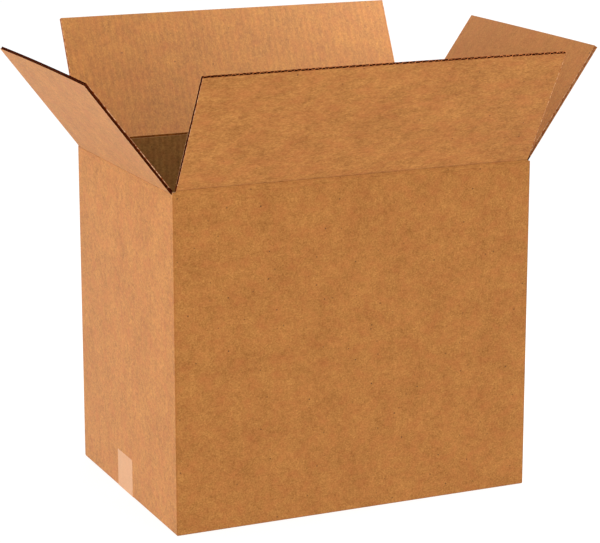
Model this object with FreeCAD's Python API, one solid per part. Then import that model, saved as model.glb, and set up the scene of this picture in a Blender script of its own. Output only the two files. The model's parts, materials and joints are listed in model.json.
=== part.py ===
import FreeCAD, Part
import math
import os

# Open shipping carton of single-wall corrugated board, in millimetres.
# X runs along the long walls, Y along the short walls and Z is up.
# The origin is on the floor, under the middle of the box.

# Driving sizes
outer_length = 432.0
outer_width = 308.0
short_crease_height = 381.0
board = 3.6
liner = 0.3
medium = 0.3
flute_pitch = 7.75
bend_radius = 1.6
bottom_seam = 3.0
flap_clearance = 0.4
corner_slot_depth = 7.0
fold_gap = 0.9
tape_width = 48.0
tape_rise = 45.0
tape_offset = 10.0
tape_thickness = 0.15
tape_bend_radius = 1.2
glue_tab_width = 35.0

# Points that draw a channel's outline, where it is closed and where it is seen
closed_channel_points = 3
open_channel_points = 6

# How far each top flap leans outwards from upright, in degrees
flap_lean = {"front": 31.0, "right": 35.0, "back": 26.5, "left": 37.5}

# Sizes that follow from the driving sizes
half_length = outer_length / 2
half_width = outer_width / 2
bottom = tape_thickness
flap_length = half_width - bottom_seam / 2
flap_inset = board + flap_clearance
long_crease_height = short_crease_height + board + flap_clearance
crush = board + flap_clearance
ramp = board / 2
root_start = fold_gap / 2 + liner * 2
flute_inset = ramp + board
layer_gap = flap_clearance / 2
upper_layer = bottom + board + layer_gap
cavity_floor = upper_layer + board
inner_length = outer_length - 2 * board
inner_width = outer_width - 2 * board

# Each side has its own frame: X along the wall, Y inwards from the outer face
# and Z up. A side is the turn of that frame about Z, where it stands, the width
# of its wall between the corners, the height of its top crease and how far its
# top flap stays back from the corners. The slots are cut from the short sides.
sides = {
    "front": (0, (0, -half_width), inner_length, long_crease_height, flap_inset),
    "right": (90, (half_length, 0), inner_width, short_crease_height, corner_slot_depth),
    "back": (180, (0, half_width), inner_length, long_crease_height, flap_inset),
    "left": (270, (-half_length, 0), inner_width, short_crease_height, corner_slot_depth),
}


def side_placement(side):
    turn, (x, y) = sides[side][:2]
    upright = FreeCAD.Rotation(FreeCAD.Vector(0, 0, 1), turn)
    return FreeCAD.Placement(FreeCAD.Vector(x, y, 0), upright)


def block(x, y, z):
    """A box between two values on each axis."""
    corner = FreeCAD.Vector(x[0], y[0], z[0])
    return Part.makeBox(x[1] - x[0], y[1] - y[0], z[1] - z[0], corner)


def centred_block(length, width, z):
    return block((-length / 2, length / 2), (-width / 2, width / 2), z)


def prism_along_x(points, width):
    """A profile of (y, z) points, drawn out to a width centred on X."""
    outline = [FreeCAD.Vector(-width / 2, y, z) for y, z in points]
    face = Part.Face(Part.makePolygon(outline + outline[:1]))
    return face.extrude(FreeCAD.Vector(width, 0, 0))


def flute_channel(centre, opens_inwards, points, start, end):
    """One air channel of the board: half a wave of the fluted middle layer."""
    half_wave = flute_pitch / 2 - medium
    height = board - 2 * liner - medium
    outline = []
    for i in range(points):
        across = 2 * i / (points - 1) - 1
        rise = height * (1 + math.cos(math.pi * across)) / 2
        depth = board - liner - rise if opens_inwards else liner + rise
        outline.append(FreeCAD.Vector(centre + across * half_wave, depth, start))
    face = Part.Face(Part.makePolygon(outline + outline[:1]))
    return face.extrude(FreeCAD.Vector(0, 0, end - start))


def flute_channels(width, start, end, points):
    """The channels of a panel, side by side over its width, as one compound."""
    reach = int(width / flute_pitch)
    channels = []
    for i in range(-reach, reach + 1):
        centre = i * flute_pitch / 2
        channels.append(flute_channel(centre, i % 2 == 1, points, start, end))
    return Part.makeCompound(channels)


def crease_valley(width, crease):
    """What the score takes from a wall's top: its inner side down to the outer liner."""
    top = crease + board
    points = [
        (liner, top),
        (liner, crease - crush),
        (board, crease - crush - ramp),
        (2 * board, crease - crush - ramp),
        (2 * board, top),
    ]
    return prism_along_x(points, width)


def carton_block():
    """The carton's outer form, with its folded corners and bottom edges rounded."""
    top = long_crease_height - fold_gap / 2
    form = centred_block(outer_length, outer_width, (bottom, top))
    folds = []
    for edge in form.Edges:
        box = edge.BoundBox
        if box.ZLength > board or box.ZMax < bottom + board:
            folds.append(edge)
    return form.makeFillet(bend_radius, folds)


def bottom_clearances():
    """The gaps that part the four bottom flaps: long ones below, short ones above."""
    ply = (upper_layer - layer_gap, upper_layer)
    below = (bottom - board, upper_layer)
    above = (ply[0], cavity_floor + board)
    between_short_flaps = 2 * (half_length - flap_length)
    corner_slot = (bottom - board, bottom + bend_radius + layer_gap)
    gaps = [
        centred_block(inner_length, inner_width, ply),
        centred_block(inner_length, bottom_seam, below),
        centred_block(between_short_flaps, inner_width, above),
    ]
    for end in (-1, 1):
        flap_end = end * (half_length - flap_inset)
        past_long_flaps = sorted((end * inner_length / 2, flap_end))
        gaps.append(block(past_long_flaps, (-inner_width / 2, inner_width / 2), below))
        beside_short_flaps = sorted((end * inner_width / 2, end * (half_width - flap_inset)))
        gaps.append(block((-inner_length / 2, inner_length / 2), beside_short_flaps, above))
        for side in (-1, 1):
            corner_x = sorted((flap_end, end * outer_length))
            corner_y = sorted((side * (half_width - flap_inset), side * outer_width))
            gaps.append(block(corner_x, corner_y, corner_slot))
    return gaps


def side_cuts(side):
    """One side's crease valley and the channels in its wall and its bottom flap."""
    wall_width, crease = sides[side][2:4]
    fluted_width = wall_width - 2 * board
    wall_top = crease - crush - flute_inset
    flap_end = flap_length + bottom_seam / 4
    points = closed_channel_points
    wall_channels = flute_channels(fluted_width, flute_inset + cavity_floor, wall_top, points)
    flap_channels = flute_channels(fluted_width, board + flute_inset, flap_end, points)
    flap_channels.rotate(FreeCAD.Vector(), FreeCAD.Vector(1, 0, 0), -90)
    layer = bottom if crease == long_crease_height else upper_layer
    flap_channels.translate(FreeCAD.Vector(0, 0, layer + board))
    cuts = Part.makeCompound([crease_valley(wall_width, crease), wall_channels, flap_channels])
    cuts.Placement = side_placement(side)
    return cuts


def glue_tab():
    """The tab of the right wall, glued inside the back wall."""
    right = half_length - board
    back = half_width - board
    edge_x = (right - glue_tab_width, right)
    edge_z = (cavity_floor + board, short_crease_height - crush - flute_inset)
    return block(edge_x, (back - board, back), edge_z)


def carton_body():
    """Walls and closed bottom of the folded blank, as one sheet."""
    body = carton_block()
    body = body.cut(centred_block(inner_length, inner_width, (cavity_floor, 2 * outer_length)))
    short_top = short_crease_height - fold_gap / 2
    for end in (-1, 1):
        over_wall = sorted((end * inner_length / 2, end * outer_length))
        gap = block(over_wall, (-outer_width, outer_width), (short_top, 2 * outer_length))
        body = body.cut(gap)
    for gap in bottom_clearances():
        body = body.cut(gap)
    body = body.fuse(glue_tab()).removeSplitter()
    for side in sides:
        body = body.cut(side_cuts(side).SubShapes)
    return body


def top_flap(side):
    """One top flap, with open channels along its free edge and down its two sides."""
    wall_width, crease, inset = sides[side][2:]
    width = wall_width + 2 * board - 2 * inset
    outline = [
        (0, fold_gap / 2),
        (liner, fold_gap / 2),
        (liner, root_start),
        (board, root_start + ramp),
        (board, flap_length),
        (0, flap_length),
    ]
    flap = prism_along_x(outline, width)
    past_edge = flap_length + board
    channels = flute_channels(width + flute_pitch, flute_inset, past_edge, open_channel_points)
    flap = flap.cut(channels.SubShapes)
    flap.rotate(FreeCAD.Vector(), FreeCAD.Vector(1, 0, 0), flap_lean[side])
    flap.translate(FreeCAD.Vector(0, 0, crease))
    flap.Placement = side_placement(side).multiply(flap.Placement)
    return flap


def bottom_tape():
    """The strip over the bottom seam, a little off its middle, turned up on both short walls."""

    def folded_block(spread, low, radius):
        form = centred_block(outer_length + 2 * spread, tape_width, (low, tape_rise))
        folds = [e for e in form.Edges if e.BoundBox.ZMax < low + board and e.BoundBox.XLength < board]
        return form.makeFillet(radius, folds)

    outside = folded_block(tape_thickness, 0, tape_bend_radius + tape_thickness)
    inside = folded_block(0, tape_thickness, tape_bend_radius)
    tape = outside.cut(inside)
    tape.translate(FreeCAD.Vector(0, tape_offset, 0))
    return tape


def main():
    os.makedirs("parts", exist_ok=True)
    parts = {"carton_body": carton_body(), "bottom_tape": bottom_tape()}
    for side in sides:
        parts[side + "_flap"] = top_flap(side)
    for name, shape in parts.items():
        shape.exportStep("parts/" + name + ".step")


main()
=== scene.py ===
import bmesh
import bpy
import json
import math
from mathutils import Matrix, Vector, noise


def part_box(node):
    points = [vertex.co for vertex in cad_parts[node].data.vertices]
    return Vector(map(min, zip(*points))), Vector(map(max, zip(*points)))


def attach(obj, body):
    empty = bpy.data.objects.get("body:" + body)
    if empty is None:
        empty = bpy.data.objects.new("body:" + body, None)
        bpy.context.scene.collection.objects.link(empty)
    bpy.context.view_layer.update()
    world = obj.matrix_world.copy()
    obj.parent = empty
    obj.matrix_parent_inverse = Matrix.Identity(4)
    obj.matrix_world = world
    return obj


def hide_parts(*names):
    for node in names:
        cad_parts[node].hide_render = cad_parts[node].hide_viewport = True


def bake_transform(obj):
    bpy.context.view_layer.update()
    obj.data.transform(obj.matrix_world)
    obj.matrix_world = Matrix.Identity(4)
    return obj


# An open shipping carton of corrugated board. Metres, Z up, origin on the floor
# under the middle of the box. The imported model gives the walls, the closed bottom
# and the tape; the four top flaps are made here as layered board.

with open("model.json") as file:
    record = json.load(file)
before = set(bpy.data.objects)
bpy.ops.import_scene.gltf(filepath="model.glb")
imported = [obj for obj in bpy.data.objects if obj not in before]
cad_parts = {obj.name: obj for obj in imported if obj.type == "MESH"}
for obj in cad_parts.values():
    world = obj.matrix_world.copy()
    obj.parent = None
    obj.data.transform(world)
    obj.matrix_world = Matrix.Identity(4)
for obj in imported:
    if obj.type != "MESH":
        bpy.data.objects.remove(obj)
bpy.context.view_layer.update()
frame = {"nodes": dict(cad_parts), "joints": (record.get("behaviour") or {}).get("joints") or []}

MM = 0.001

# The board: two liners with a fluted paper glued between them
BOARD = 3.6 * MM
LINER = 0.3 * MM
MEDIUM = 0.42 * MM
FLUTE_PITCH = 7.75 * MM

# The flutes: how far they run askew for each metre up a flap, how many radians of a
# wave they wander and how fast, and how much fuller than a plain wave they are
FLUTE_SKEW = 0.004
FLUTE_WANDER = 0.5
WANDER_PACE = Vector((30, 0, 25))
WANDER_START = 7
FLUTE_FULLNESS = 0.35

# The creases: how far each reaches from its fold, the groove that the score left
# outside, the notch it opened inside and the short length that bends
CREASE_REACH = 7.0 * MM
CREASE_PROUD = 0.06 * MM
GROOVE_REACH = 1.8 * MM
GROOVE_DEPTH = 0.2 * MM
SHOULDER_REACH = 0.4 * GROOVE_REACH
SHOULDER_DEPTH = 0.7 * GROOVE_DEPTH
NOTCH_ABOVE = 0.8 * MM
NOTCH_BELOW = 0.15 * MM
NOTCH_DEPTH = 0.9 * MM
FLAP_ROOT = 5.5 * MM
CORNER_INSET = 0.6 * MM

# The small slots left open at the four bottom corners, and the pale rim of painted highlight
# along a cut
CORNER_SLOT = 4.2 * MM
SLOT_HEIGHT = (0.45 * MM, 2.3 * MM)
RIM = 0.5 * MM

# Where a face changes its finish: how near a cut it lies, how deep in the board, and
# the height over the fold that parts the wall's half from the flap's
AT_CUT = 0.01 * MM
IN_BOARD = 0.9 * LINER
FOLD_TOP = 0.5 * MM

# Steps over and up a flap's liner, and over one wave of its flutes and up them
LINER_STEPS = (60, 12)
FLUTE_STEPS = (12, 24)

# How far the middle of each flap's free edge bows towards the box
BOW = {"front": 1.0 * MM, "right": 1.0 * MM, "back": 0.8 * MM, "left": 1.0 * MM}

# Where the cut at the seen end of each flap meets the flutes, in degrees of a wave,
# and which end of the flap that is
CUT_WAVE = {"front": 180, "right": 190, "back": 190, "left": 10}
SEEN_END = {"front": -1, "right": -1, "back": 1, "left": 1}

# Flaps whose flutes and cut sides take a paler flute paper, painted light where light falls into
# the channels, so that no dark channel shows there
PAINTED_LIGHT_FLAPS = ("right", "back")

# Where the camera stands and looks, and the length of its lens
CAMERA_PLACE = (-1.0596, -2.3565, 0.8746)
CAMERA_AZIMUTH = 24.216
CAMERA_TILT = 13.757
CAMERA_LENS = 137.11
SENSOR_WIDTH = 36

# Each soft light's place, the point it faces, its two sides and its watts
LIGHTS = {
    "left_light": ((-2.7, -0.5, 0.6), (-0.2, 0, 0.25), (1.6, 1.2), 34.5),
    "front_light": ((0.3, -3.0, 1.5), (0, -0.15, 0.25), (1.6, 1.6), 6),
    "upper_light": ((0.62, 0.0, 1.05), (0, 0.2, 0.45), (0.4, 0.4), 8.8),
}

# The white surroundings, and the floor that glows nearly as white
WHITE = (1.0, 1.0, 1.0, 1.0)
WORLD_STRENGTH = 0.68
FLOOR_DARK = (0.25, 0.25, 0.25, 1)
FLOOR_PALE = (0.29, 0.29, 0.29, 1)
FLOOR_ROUGHNESS = 0.9
FLOOR_GLOW = 0.84
FLOOR_REACH = 20


class Signal:
    """A socket on its way through a finish, with plain arithmetic on its value."""

    def __init__(self, finish, socket):
        self.finish = finish
        self.socket = socket

    def part(self, name):
        """Another output of the node that this value comes from."""
        return Signal(self.finish, self.socket.node.outputs[name])

    def math(self, operation, *values, clamp=False):
        settings = {"operation": operation, "use_clamp": clamp}
        sockets = dict(enumerate((self,) + values))
        return self.finish.node("ShaderNodeMath", settings, sockets)

    def __add__(self, other):
        return self.math("ADD", other)

    def __mul__(self, other):
        return self.math("MULTIPLY", other)

    def __sub__(self, other):
        return self.math("SUBTRACT", other)

    def __rsub__(self, other):
        return self.math("MULTIPLY", -1.0) + other

    def __abs__(self):
        return self.math("ABSOLUTE")

    def spread(self, gain, middle):
        """The value, spread wider or narrower about a new middle."""
        return self * gain + middle

    def kept(self):
        """The value, held between 0 and 1."""
        return self.math("MULTIPLY", 1.0, clamp=True)

    def over(self, edge, soft):
        """1 where the value is over an edge, 0 where it is under, with a soft step."""
        return ((self - edge) * (1.0 / soft) + 0.5).kept()


class Finish:
    """A material, and the nodes that make its colour, roughness and relief."""

    def __init__(self, name):
        self.material = bpy.data.materials.new(name)
        self.material.use_nodes = True
        self.tree = self.material.node_tree
        self.shader = self.tree.nodes["Principled BSDF"]

    def node(self, kind, settings=None, sockets=None, output=0):
        made = self.tree.nodes.new(kind)
        for key, value in (settings or {}).items():
            setattr(made, key, value)
        for key, value in (sockets or {}).items():
            self.feed(made.inputs[key], value)
        return Signal(self, made.outputs[output])

    def feed(self, socket, value):
        if isinstance(value, Signal):
            self.tree.links.new(value.socket, socket)
        else:
            socket.default_value = value

    def place(self, output="Object"):
        return self.node("ShaderNodeTexCoord", output=output)

    def scaled(self, vector, pace):
        """The object's coordinates, times a number for each axis."""
        return self.node("ShaderNodeVectorMath", {"operation": "MULTIPLY"}, {0: vector, 1: pace})

    def axis(self, vector, which):
        return self.node("ShaderNodeSeparateXYZ", None, {0: vector}, output=which)

    def clouds(self, place, pace, detail=2.0, roughness=0.5):
        """A smooth random value about zero, that changes at its own pace on each axis."""
        sockets = {"Vector": self.scaled(place, pace), "Scale": 1.0}
        sockets.update(Detail=detail, Roughness=roughness)
        return self.node("ShaderNodeTexNoise", None, sockets) - 0.5

    def cells(self, place, pace):
        """The distance to the nearest of many scattered points."""
        sockets = {"Vector": self.scaled(place, pace), "Scale": 1.0}
        return self.node("ShaderNodeTexVoronoi", None, sockets)

    def blend(self, amount, low, high, kind="MIX"):
        settings = {"data_type": "RGBA", "blend_type": kind}
        return self.node("ShaderNodeMix", settings, {0: amount, 6: low, 7: high}, output=2)

    def tinted(self, colour, amount, tint):
        """A colour with a tint multiplied in."""
        return self.blend(amount, colour, tint, "MULTIPLY")

    def relief(self, height, distance, strength):
        sockets = {"Height": height, "Distance": distance, "Strength": strength}
        return self.node("ShaderNodeBump", None, sockets)

    def set(self, **values):
        for key, value in values.items():
            self.feed(self.shader.inputs[key.replace("_", " ")], value)


def rgb(red, green, blue):
    """A colour given in the screen's own 0 to 255 steps."""
    linear = [((v / 255 + 0.055) / 1.055) ** 2.4 for v in (red, green, blue)]
    return (*linear, 1.0)


# The outer paper, its flecks and fibres, and the tape over it
KRAFT_DARK = rgb(143, 84, 24)
KRAFT_PALE = rgb(208, 142, 72)
KRAFT_RED = rgb(190, 106, 54)
FLECK = rgb(60, 32, 14)
PALE_FIBRE = rgb(222, 168, 104)
TAPE = rgb(216, 161, 115)

# The papers inside the board and along its cuts
# painted shade: near-black paper for the faces hidden inside the board
CORE_IN_SHADE = rgb(46, 8, 0)
CORE_IN_SHADE_PALE = rgb(92, 34, 8)
# the fluted paper's own darker brown, further darkened with painted shade of its channels
FLUTE_IN_SHADE = rgb(80, 27, 5)
FLUTE_IN_SHADE_PALE = rgb(124, 54, 18)
FLUTE_CUT = rgb(236, 140, 78)
# painted light: a paler copy of the flute paper for the channels that light falls into
PAINTED_LIGHT_PALE = rgb(206, 144, 92)
PAINTED_LIGHT_DARK = rgb(168, 98, 54)
CUT_PAPER = rgb(150, 70, 24)
CUT_SHADE = rgb(90, 32, 8)
# crushed liner in the crease's notch, darkened with painted shade
CRUSHED_SHADED_PAPER = rgb(150, 94, 40)
CRUSHED_SHADE = rgb(112, 64, 24)
# painted highlight: the pale rim along the flaps' cut sides
RIM_HIGHLIGHT = rgb(240, 186, 140)

# Tints: over a flute, inside the walls as painted shade, on the long flaps' insides, on the
# short flaps' outsides, and along the folds as painted shade, with a rubbed stain at the creases
FLUTE_SHADE = rgb(150, 128, 112)
INNER_SHADE = (0.64, 0.80, 0.84, 1.0)
INNER_LINER = (1.0, 1.01, 0.78, 1.0)
SHORT_LINER = (0.94, 0.93, 0.80, 1.0)
FOLD_SHADE = rgb(186, 168, 122)

# How fast the paper's unevenness changes along X, Y and Z, in turns per metre
EVEN_GRAIN = (130, 130, 160)
LEVEL_GRAIN = (85, 85, 210)
UPRIGHT_GRAIN = (165, 165, 100)
CLOUD_PACE = (34, 34, 34)
FIBRE_PACE = (260, 260, 1300)
FLECK_PACE = (105, 105, 105)
FLUTE_DRIFT_PACE = (9, 9, 4)
FLUTE_FADE_PACE = (40, 40, 10)
RUB_AND_SHADE_PACE = (60, 60, 0)
CORE_PACE = (330, 330, 330)
TORN_PACE = (260, 260, 260)
STREAK_PACE = (30, 900, 30)
FLOOR_PACE = (2, 2, 2)

# The fine and the warm unevenness, in turns to one turn of the grain
FINE_TURNS = 3.4
WARM_TURNS = 0.45

# How much of each kind of unevenness the paper shows
CLOUD_SHARE = 0.5
FINE_SHARE = 1.75
WARM_SHARE = 1.4
FIBRE_SHARE = 0.35
FLECK_SHARE = 0.8

# How much the tape's own colour covers the board's, and how much of its streaks shows
TAPE_SHARE = 0.6
STREAK_SHARE = 0.5

# The flecks: the smallest, how much larger they get and their soft edge, in cells
FLECK_SMALLEST = 0.03
FLECK_GROWTH = 0.07
FLECK_EDGE = 0.04

# How strongly the flutes show outside and inside the walls and how far they drift, how
# far the stain and painted shade along a crease reach, how much painted shade darkens the
# rounded folds, and the soft step from a wall's outer side to its inner side
OUTSIDE_BANDS = 0.005
INSIDE_BANDS = 0.16
FLUTE_DRIFT = 2.0
STAIN_AND_SHADE_REACH = 2.2 * MM
FOLD_PAINTED_SHADE = 0.5
WALL_STEP = 0.2 * MM

# The relief of the paper and of the tape, its strength, and the shares that the
# flutes and the unevenness have in it
PAPER_RELIEF = 0.12 * MM
TAPE_RELIEF = 0.03 * MM
PAPER_STRENGTH = 0.8
TAPE_STRENGTH = 0.6
BAND_RELIEF = 3
SHADE_RELIEF = 0.5

# Roughness: of paper without any gloss, what a full gloss takes off it, of the tape,
# of the cuts, of the papers inside, and how much the unevenness changes it
PAPER_ROUGHNESS = 0.86
GLOSS_ROUGHNESS = 0.48
TAPE_ROUGHNESS = 0.38
CUT_ROUGHNESS = 0.9
CORE_ROUGHNESS = 0.95
UNEVEN_ROUGHNESS = 0.1

# The gloss of plain paper, and of the papers inside the board and along its cuts
PAPER_GLOSS = 0.25
CORE_GLOSS = 0.05


def paper_colour(finish, place, grain, contrast=1.0):
    """Uncoated kraft liner: uneven along its grain, with fibres and dark flecks."""
    fine_pace = [FINE_TURNS * pace for pace in grain]
    warm_pace = [WARM_TURNS * pace for pace in grain]
    cloud = finish.clouds(place, CLOUD_PACE)
    floc = finish.clouds(place, grain, detail=4.0, roughness=0.66)
    fine = finish.clouds(place, fine_pace, detail=3.0, roughness=0.75)
    warm = finish.clouds(place, warm_pace, detail=3.0, roughness=0.65)
    fibre = finish.clouds(place, FIBRE_PACE)
    shade = (cloud * CLOUD_SHARE + floc + fine * FINE_SHARE) * contrast
    colour = finish.blend((shade + 0.5).kept(), KRAFT_DARK, KRAFT_PALE)
    warmth = warm.spread(WARM_SHARE * contrast, middle=0.1).kept()
    colour = finish.blend(warmth, colour, KRAFT_RED)
    pale = fibre.over(edge=0.2, soft=0.06)
    colour = finish.blend(pale * FIBRE_SHARE, colour, PALE_FIBRE)
    spot = finish.cells(place, FLECK_PACE)
    chance = finish.axis(spot.part("Color"), 0)
    size = finish.axis(spot.part("Color"), 1).spread(FLECK_GROWTH, FLECK_SMALLEST)
    fleck = (size - spot).over(edge=0.0, soft=FLECK_EDGE) * chance.over(edge=0.6, soft=0.6)
    return finish.blend(fleck * FLECK_SHARE, colour, FLECK), shade


def flute_bands(finish, across):
    """The flutes showing through a liner, as uneven bands of shade over one coordinate."""
    place = finish.place()
    drift = finish.clouds(place, FLUTE_DRIFT_PACE, detail=1.0) * FLUTE_DRIFT
    turns = across * (2 * math.pi / FLUTE_PITCH) + drift
    fading = finish.clouds(place, FLUTE_FADE_PACE, roughness=0.6)
    return turns.math("SINE") * fading.spread(gain=1.6, middle=0.6)


def across_walls(finish):
    """The coordinate across the flutes: X on the long walls, Y on the short ones."""
    place = finish.place()
    faces_end = abs(finish.axis(finish.place("Normal"), 0)).over(edge=0.5, soft=0.01)
    along_x = finish.axis(place, 0)
    along_y = finish.axis(place, 1)
    return along_x + (along_y - along_x) * faces_end


def inside_walls(finish):
    """1 on the inner side of the walls, 0 on the outer side."""
    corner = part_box("carton_body")[1]
    place = finish.place()
    inner_x = (corner[0] - BOARD / 2 - abs(finish.axis(place, 0))).over(0, WALL_STEP)
    inner_y = (corner[1] - BOARD / 2 - abs(finish.axis(place, 1))).over(0, WALL_STEP)
    return inner_x * inner_y


def folds_painted_shade(finish):
    """1 at the middle of the rounded upright folds and bottom edges, 0 on flat faces: where
    painted shade darkens the walls.
    """
    facing = finish.place("Normal")
    x, y, z = [abs(finish.axis(facing, which)) for which in range(3)]
    return ((x * y + y * z + z * x) * 2).kept()


def kraft_finish(
    name, side, grain, bands=0.0, contrast=1.0, tint=None, gloss=PAPER_GLOSS, stain=0.0
):
    """A flap's liner. The bands say how strongly the flutes show through it, and the
    stain says how dark the paper is along the crease: partly a rubbed stain, partly painted
    shade."""
    finish = Finish(name)
    place = finish.place()
    colour, shade = paper_colour(finish, place, grain, contrast)
    if tint:
        colour = finish.tinted(colour, 1.0, tint)
    band = flute_bands(finish, finish.axis(place, side.across))
    colour = finish.tinted(colour, ((band + 1) * bands).kept(), FLUTE_SHADE)
    # A darker line along the crease: partly a rubbed stain, partly painted shade.
    if stain:
        crease = side.wall.translation.z
        near = (abs(finish.axis(place, 2) - crease) * (-1 / STAIN_AND_SHADE_REACH) + 1).kept()
        rub_and_shade = finish.clouds(place, RUB_AND_SHADE_PACE).spread(gain=1.5, middle=0.8)
        colour = finish.tinted(colour, (near * rub_and_shade * stain).kept(), FOLD_SHADE)
    return paper_shader(finish, colour, shade, band * bands, gloss)


def wall_finish():
    """The carton's walls: smooth outside, and inside the flutes show and the colour is darkened
    and made less red as painted shade.
    """
    finish = Finish("kraft_walls")
    colour, shade = paper_colour(finish, finish.place(), EVEN_GRAIN)
    inside = inside_walls(finish)
    band = flute_bands(finish, across_walls(finish))
    bands = inside.spread(INSIDE_BANDS, OUTSIDE_BANDS)
    colour = finish.tinted(colour, ((band + 1) * bands).kept(), FLUTE_SHADE)
    # painted shade: the inside of the walls tinted darker and less red
    colour = finish.tinted(colour, inside, INNER_SHADE)
    # painted shade on the rounded folds, darkening the highlight they catch
    colour = finish.tinted(colour, folds_painted_shade(finish) * FOLD_PAINTED_SHADE, FOLD_SHADE)
    return paper_shader(finish, colour, shade, band * bands)


def paper_shader(finish, colour, shade, band, gloss=PAPER_GLOSS):
    """Dull paper with a faint fuzz, the flutes' bands and its own unevenness as relief."""
    height = band * BAND_RELIEF + shade * SHADE_RELIEF
    finish.set(
        Base_Color=colour,
        Roughness=shade.spread(UNEVEN_ROUGHNESS, PAPER_ROUGHNESS - GLOSS_ROUGHNESS * gloss),
        Normal=finish.relief(height, PAPER_RELIEF, PAPER_STRENGTH),
    )
    finish.set(Specular_IOR_Level=gloss, Sheen_Weight=0.2, Sheen_Roughness=0.4)
    return finish.material


def core_finish(name, dark, pale):
    """A paper inside the board: rough and unbleached, and darkened with painted shade."""
    finish = Finish(name)
    grain = finish.clouds(finish.place(), CORE_PACE, detail=3.0, roughness=0.6)
    colour = finish.blend(grain.spread(gain=2.2, middle=0.35).kept(), dark, pale)
    finish.set(Base_Color=colour, Roughness=CORE_ROUGHNESS, Specular_IOR_Level=CORE_GLOSS)
    return finish.material


def cut_finish(name, pale, dark):
    """The cut edge of a paper: torn fibres."""
    finish = Finish(name)
    grain = finish.clouds(finish.place(), TORN_PACE, roughness=0.6)
    colour = finish.blend(grain.spread(gain=4.0, middle=0.5).kept(), pale, dark)
    finish.set(Base_Color=colour, Roughness=CUT_ROUGHNESS, Specular_IOR_Level=CORE_GLOSS)
    return finish.material


def tape_finish():
    """Thin packing tape: the board shows through it, paler and with a low gloss."""
    finish = Finish("packing_tape")
    place = finish.place()
    colour, shade = paper_colour(finish, place, EVEN_GRAIN)
    colour = finish.blend(TAPE_SHARE, colour, TAPE)
    streak = finish.clouds(place, STREAK_PACE)
    finish.set(
        Base_Color=colour,
        Roughness=streak.spread(UNEVEN_ROUGHNESS, TAPE_ROUGHNESS),
        Normal=finish.relief(shade + streak * STREAK_SHARE, TAPE_RELIEF, TAPE_STRENGTH),
    )
    return finish.material


def floor_finish():
    finish = Finish("studio_floor")
    cloud = finish.clouds(finish.place(), FLOOR_PACE)
    colour = finish.blend(cloud.spread(gain=0.1, middle=0.5), FLOOR_DARK, FLOOR_PALE)
    finish.set(Base_Color=colour, Roughness=FLOOR_ROUGHNESS)
    finish.set(Emission_Color=WHITE, Emission_Strength=FLOOR_GLOW)
    return finish.material


def show(name, mesh, materials, body=None):
    """Closes a bmesh into a piece, with its faces outwards, and links it."""
    bmesh.ops.recalc_face_normals(mesh, faces=mesh.faces)
    data = bpy.data.meshes.new(name)
    mesh.to_mesh(data)
    mesh.free()
    for material in materials:
        data.materials.append(material)
    piece = bpy.data.objects.new(name, data)
    bpy.context.scene.collection.objects.link(piece)
    if body:
        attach(piece, body)
    return piece


def look_index(looks):
    """The slot of the first look that holds, or the first slot where none does."""
    return looks.index(True) + 1 if any(looks) else 0


class Side:
    """One side of the carton at its top crease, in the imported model's frame."""

    def __init__(self, joint):
        self.body = joint["child"]
        self.node = self.body
        self.name = self.body.replace("_flap", "")
        along = Vector(joint["axis"])
        up = Vector((0, 0, 1))
        turn = Matrix((along, up.cross(along), up)).transposed().to_4x4()
        self.wall = Matrix.Translation(joint["pos_m"]) @ turn
        self.lean = math.radians(-joint["range_deg"][0] - 90)
        self.fold = Matrix.Rotation(self.lean, 4, "X")
        self.flap = self.wall @ self.fold
        low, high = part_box(self.node)
        self.across = 0 if abs(along.x) > 0.5 else 1
        self.width = high[self.across] - low[self.across]
        rise = high[2] - joint["pos_m"][2]
        self.length = rise / math.cos(self.lean) - BOARD * math.tan(self.lean)
        wall_low, wall_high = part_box("carton_body")
        self.wall_width = wall_high[self.across] - wall_low[self.across]


def sheet(side, steps_across, steps_along, margin=0.0):
    """A flat sheet in a flap's own frame: X along the crease, Z up the flap."""
    width = side.width + 2 * margin
    length = side.length - FLAP_ROOT
    mesh = bmesh.new()
    bmesh.ops.create_grid(mesh, x_segments=steps_across, y_segments=steps_along, size=0.5)
    bmesh.ops.scale(mesh, verts=mesh.verts, vec=(width, length, 1))
    upright = Matrix.Rotation(math.radians(90), 3, "X")
    bmesh.ops.rotate(mesh, verts=mesh.verts, matrix=upright)
    bmesh.ops.translate(mesh, verts=mesh.verts, vec=(0, 0, FLAP_ROOT + length / 2))
    return mesh


def cut_across(mesh, x, facing, clear=False):
    """Cuts a sheet at a place along the crease, and clears what lies past the cut."""
    every = mesh.verts[:] + mesh.edges[:] + mesh.faces[:]
    bmesh.ops.bisect_plane(
        mesh, geom=every, plane_co=(x, 0, 0), plane_no=(facing, 0, 0), clear_outer=clear
    )


def liner_sheet(side):
    """A liner's sheet, with a narrow rim marked off along its two sides for a painted highlight.
    """
    mesh = sheet(side, *LINER_STEPS)
    for end in (-1, 1):
        cut_across(mesh, end * (side.width / 2 - RIM), 1)
    return mesh


def flute_sheet(side):
    """The fluted layer of a flap, a little skewed to the cuts as real board is."""
    waves = math.ceil(side.width / FLUTE_PITCH)
    mesh = sheet(side, waves * FLUTE_STEPS[0], FLUTE_STEPS[1], margin=FLUTE_PITCH)
    swing = (BOARD - 2 * LINER - MEDIUM) / 2
    start = side.wall.translation * WANDER_START
    for vert in mesh.verts:
        wander = noise.noise(start + vert.co * WANDER_PACE)
        from_cut = side.width / 2 - SEEN_END[side.name] * vert.co.x
        across = from_cut + FLUTE_SKEW * (vert.co.z - side.length)
        turn = math.radians(CUT_WAVE[side.name]) + wander * FLUTE_WANDER
        wave = math.cos(across / FLUTE_PITCH * 2 * math.pi + turn)
        vert.co.y = swing * wave * (1 + FLUTE_FULLNESS * (1 - wave * wave))
    for end in (-1, 1):
        cut_across(mesh, end * side.width / 2, end, clear=True)
    return mesh


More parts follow.
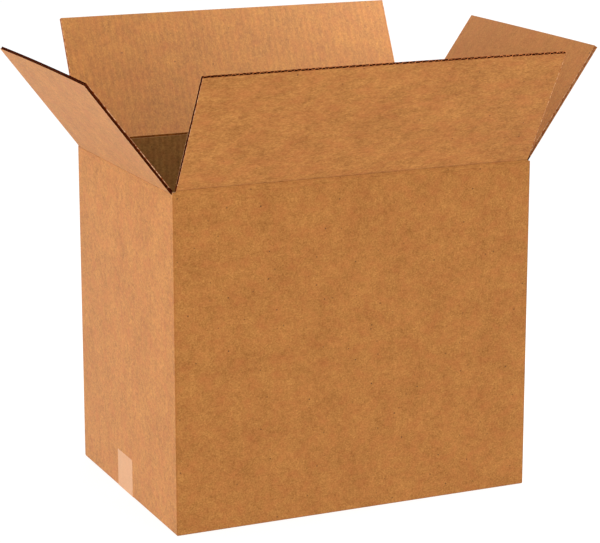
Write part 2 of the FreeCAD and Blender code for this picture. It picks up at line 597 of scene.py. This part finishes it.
def close_layer(side, name, mesh, thickness, depth, materials):
    """Gives one layer of a flap its thickness and its bow. Its materials are those of
    its face, its cut end, its cut sides, its side inside the board and its rims."""
    bmesh.ops.solidify(mesh, geom=mesh.faces[:], thickness=thickness)
    middle = sum(vert.co.y for vert in mesh.verts) / len(mesh.verts)
    bmesh.ops.translate(mesh, verts=mesh.verts, vec=(0, depth - middle, 0))
    for face in mesh.faces:
        centre = face.calc_center_median()
        at_end = centre.z > side.length - AT_CUT
        at_side = abs(centre.x) > side.width / 2 - AT_CUT
        hidden = abs(centre.y - BOARD / 2) < BOARD / 2 - IN_BOARD
        at_rim = abs(centre.x) > side.width / 2 - RIM
        face.material_index = look_index((at_end, at_side, hidden, at_rim))
    for vert in mesh.verts:
        rise = vert.co.z / side.length
        across = 2 * vert.co.x / side.width
        vert.co.y += BOW[side.name] * rise * rise * (1 - across * across)
    bmesh.ops.transform(mesh, matrix=side.flap, verts=mesh.verts)
    return show(side.name + "_flap_" + name, mesh, materials, side.body)


def crease_section(side):
    """The scored board at the fold, as a closed outline across the crease."""
    face = -CREASE_PROUD
    back = BOARD + CREASE_PROUD
    above = [(back, NOTCH_ABOVE), (back, CREASE_REACH), (face, CREASE_REACH)]
    above += [(face, GROOVE_REACH), (SHOULDER_DEPTH, SHOULDER_REACH)]
    below = [(SHOULDER_DEPTH, -SHOULDER_REACH), (face, -GROOVE_REACH)]
    below += [(face, -CREASE_REACH), (back, -CREASE_REACH), (back, -NOTCH_BELOW)]
    flap_half = [side.fold @ Vector((0, y, z)) for y, z in above]
    wall_half = [Vector((0, y, z)) for y, z in below]
    groove = [Vector((0, GROOVE_DEPTH, 0))]
    notch = [Vector((0, BOARD - NOTCH_DEPTH, 0))]
    return flap_half + groove + wall_half + notch


def crease_piece(side, materials):
    """The scored fold between a wall and its flap. Its materials are those of the
    flap's outside, the cut ends, the wall's inside, the notch, the flap's inside and
    the wall's outside."""
    mesh = bmesh.new()
    outline = [mesh.verts.new(point) for point in crease_section(side)]
    section = mesh.faces.new(outline)
    grown = bmesh.ops.extrude_face_region(mesh, geom=[section])
    moved = [part for part in grown["geom"] if isinstance(part, bmesh.types.BMVert)]
    bmesh.ops.translate(mesh, verts=moved, vec=(side.width, 0, 0))
    bmesh.ops.translate(mesh, verts=mesh.verts, vec=(-side.width / 2, 0, 0))
    for face in mesh.faces:
        centre = face.calc_center_median()
        from_fold = side.fold.inverted() @ centre
        at_end = abs(centre.x) > side.width / 2 - AT_CUT
        on_wall = centre.z < FOLD_TOP and centre.y > BOARD / 2
        on_flap = centre.z > FOLD_TOP and from_fold.y > BOARD / 2
        in_notch = on_flap and from_fold.z < NOTCH_ABOVE
        outside_wall = centre.z < 0
        face.material_index = look_index((at_end, on_wall, in_notch, on_flap, outside_wall))
    bmesh.ops.transform(mesh, matrix=side.wall, verts=mesh.verts)
    piece = show(side.name + "_crease", mesh, materials)
    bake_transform(piece)
    return piece


def add_block(mesh, size, middle):
    made = bmesh.ops.create_cube(mesh, size=1)
    bmesh.ops.scale(mesh, verts=made["verts"], vec=size)
    bmesh.ops.translate(mesh, verts=made["verts"], vec=middle)


def corner_fillers(side, face):
    """The wall's own board, from the flap's ends to the upright corners."""
    mesh = bmesh.new()
    reach = side.wall_width / 2 - CORNER_INSET
    overlap = side.width / 2 - CORNER_INSET
    size = (reach - overlap, BOARD - CORNER_INSET, CREASE_REACH - GROOVE_REACH)
    for end in (-1, 1):
        middle = (end * (reach + overlap) / 2, BOARD / 2, -(CREASE_REACH + GROOVE_REACH) / 2)
        add_block(mesh, size, middle)
    bmesh.ops.transform(mesh, matrix=side.wall, verts=mesh.verts)
    return show(side.name + "_wall_corners", mesh, [face], "carton")


def bottom_corners(face):
    """The corners of the folded bottom, pressed together under the upright folds."""
    mesh = bmesh.new()
    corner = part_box("carton_body")[1]
    size = Vector((CORNER_SLOT - CORNER_INSET,) * 2 + (SLOT_HEIGHT[1] - SLOT_HEIGHT[0],))
    from_edge = (CORNER_SLOT + CORNER_INSET) / 2
    for end in (-1, 1):
        for side in (-1, 1):
            x = end * (corner.x - from_edge)
            y = side * (corner.y - from_edge)
            add_block(mesh, size, (x, y, sum(SLOT_HEIGHT) / 2))
    show("bottom_corners", mesh, [face], "carton")


def flap_pieces(side, faces, cuts):
    """A top flap: two liners, the flutes between them and the crease at its root."""
    outer_face, inner_face, fold_face, wall_fold, wall_face = faces
    core = cuts["core"]
    rim = cuts["rim"]
    flute = core
    # The darker cut paper is painted shade: on the flaps' cut sides here, and on the short
    # flaps' free ends below.
    side_cut = flute_side = cuts["dark_cut"]
    liner_end = cuts["liner_cut"]
    flute_end = cuts["flute_cut"]
    if side.across == 1:
        # The short flaps' flutes: the fluted paper's darker brown with painted shade.
        flute = cuts["flute"]
        # The short flaps' flute sides take the pale rim paper: painted highlight.
        flute_side = rim
        liner_end = flute_end = cuts["dark_cut"]
    # The right and back flaps' flutes and cut sides get the paler flute paper: painted light.
    if side.name in PAINTED_LIGHT_FLAPS:
        flute = side_cut = flute_side = cuts["pinched"]
    inner_depth = BOARD - LINER / 2
    # The faces hidden inside the board, the front flap's flutes and the crease's cut ends take
    # the near-black paper: painted shade.
    outer_look = [outer_face, liner_end, side_cut, core, rim]
    inner_look = [inner_face, liner_end, rim, core, rim]
    flute_look = [flute, flute_end, flute_side, flute, flute]
    crease_look = [fold_face, core, wall_face, cuts["crushed"], inner_face, wall_fold]
    outer = close_layer(side, "outer_liner", liner_sheet(side), LINER, LINER / 2, outer_look)
    inner = close_layer(side, "inner_liner", liner_sheet(side), LINER, inner_depth, inner_look)
    middle = close_layer(side, "flutes", flute_sheet(side), MEDIUM, BOARD / 2, flute_look)
    crease = crease_piece(side, crease_look)
    if side.across == 0:
        corner_fillers(side, wall_fold)
    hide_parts(side.node)


def dress_node(name, material):
    node = frame["nodes"][name]
    node.data.materials.clear()
    node.data.materials.append(material)


def studio_floor():
    mesh = bmesh.new()
    bmesh.ops.create_grid(mesh, x_segments=2, y_segments=2, size=FLOOR_REACH)
    show("studio_floor", mesh, [floor_finish()])


def soft_light(name, place, target, size, power):
    data = bpy.data.lights.new(name, "AREA")
    data.shape = "RECTANGLE"
    data.size, data.size_y = size
    data.energy = power
    light = bpy.data.objects.new(name, data)
    light.location = place
    light.rotation_euler = (Vector(target) - Vector(place)).to_track_quat("-Z", "Y").to_euler()
    bpy.context.scene.collection.objects.link(light)


def studio_lights():
    """White surroundings and the soft lights."""
    world = bpy.data.worlds.new("white_surroundings")
    world.use_nodes = True
    background = world.node_tree.nodes["Background"]
    background.inputs["Color"].default_value = WHITE
    background.inputs["Strength"].default_value = WORLD_STRENGTH
    bpy.context.scene.world = world
    for name, settings in LIGHTS.items():
        soft_light(name, *settings)


def photograph_camera():
    data = bpy.data.cameras.new("photograph_camera")
    data.sensor_width = SENSOR_WIDTH
    data.lens = CAMERA_LENS
    camera = bpy.data.objects.new("photograph_camera", data)
    camera.location = CAMERA_PLACE
    tilt = math.radians(90 - CAMERA_TILT)
    camera.rotation_euler = (tilt, 0, math.radians(-CAMERA_AZIMUTH))
    bpy.context.scene.collection.objects.link(camera)
    bpy.context.scene.camera = camera


def long_flap_faces(side):
    """The finishes of a long flap: outside, inside, and above and below its crease."""
    outer = kraft_finish("kraft_outer_long", side, LEVEL_GRAIN, OUTSIDE_BANDS)
    inner = kraft_finish(
        "kraft_inner_long",
        side,
        UPRIGHT_GRAIN,
        bands=0.09,
        contrast=0.85,
        tint=INNER_LINER,
        gloss=0.46,
    )
    fold = kraft_finish("kraft_fold_long", side, LEVEL_GRAIN, stain=0.5)
    return outer, inner, fold, fold


def short_flap_faces(side):
    """The same finishes of a short flap."""
    outside = {"tint": SHORT_LINER, "gloss": 0.15}
    outer = kraft_finish("kraft_outer_short", side, LEVEL_GRAIN, OUTSIDE_BANDS, **outside)
    inner = kraft_finish("kraft_inner_short", side, EVEN_GRAIN, bands=0.02, contrast=0.65)
    fold = kraft_finish("kraft_fold_short", side, LEVEL_GRAIN, stain=0.15, **outside)
    wall_fold = kraft_finish("kraft_wall_fold_short", side, LEVEL_GRAIN, stain=0.15)
    return outer, inner, fold, wall_fold


def cut_finishes():
    """The papers that show where the board is cut, torn or crushed. Some carry painted shade:
    inside the board, on darker cuts and in the crease's notch; a paler flute paper carries
    painted light, and the pale rim is a painted highlight.
    """
    return {
        # painted shade: near-black paper inside the board
        "core": core_finish("inside_of_liner", CORE_IN_SHADE, CORE_IN_SHADE_PALE),
        # fluted paper: its own darker brown plus painted shade
        "flute": core_finish("fluted_paper", FLUTE_IN_SHADE, FLUTE_IN_SHADE_PALE),
        # painted light: paler flute paper
        "pinched": cut_finish("pinched_flute", PAINTED_LIGHT_PALE, PAINTED_LIGHT_DARK),
        "liner_cut": cut_finish("cut_liner_edge", CUT_PAPER, CUT_SHADE),
        "flute_cut": cut_finish("cut_flute_edge", FLUTE_CUT, CUT_PAPER),
        # painted shade on the front and left flaps' cut sides and the short flaps' free ends
        "dark_cut": cut_finish("shaded_cut_edge", CUT_SHADE, CORE_IN_SHADE),
        # painted highlight along the cut sides
        "rim": cut_finish("bare_rim", RIM_HIGHLIGHT, CUT_PAPER),
        # crushed liner in the notch, partly painted shade
        "crushed": cut_finish("crushed_liner", CRUSHED_SHADED_PAPER, CRUSHED_SHADE),
    }


def main():
    cuts = cut_finishes()
    walls = wall_finish()
    dress_node("carton_body", walls)
    dress_node("bottom_tape", tape_finish())
    bottom_corners(walls)
    make_faces = (long_flap_faces, short_flap_faces)
    faces = {}
    for joint in frame["joints"]:
        side = Side(joint)
        if side.across not in faces:
            faces[side.across] = (*make_faces[side.across](side), walls)
        flap_pieces(side, faces[side.across], cuts)
    studio_floor()
    studio_lights()
    photograph_camera()
    bpy.context.scene.view_settings.view_transform = "Standard"


main()
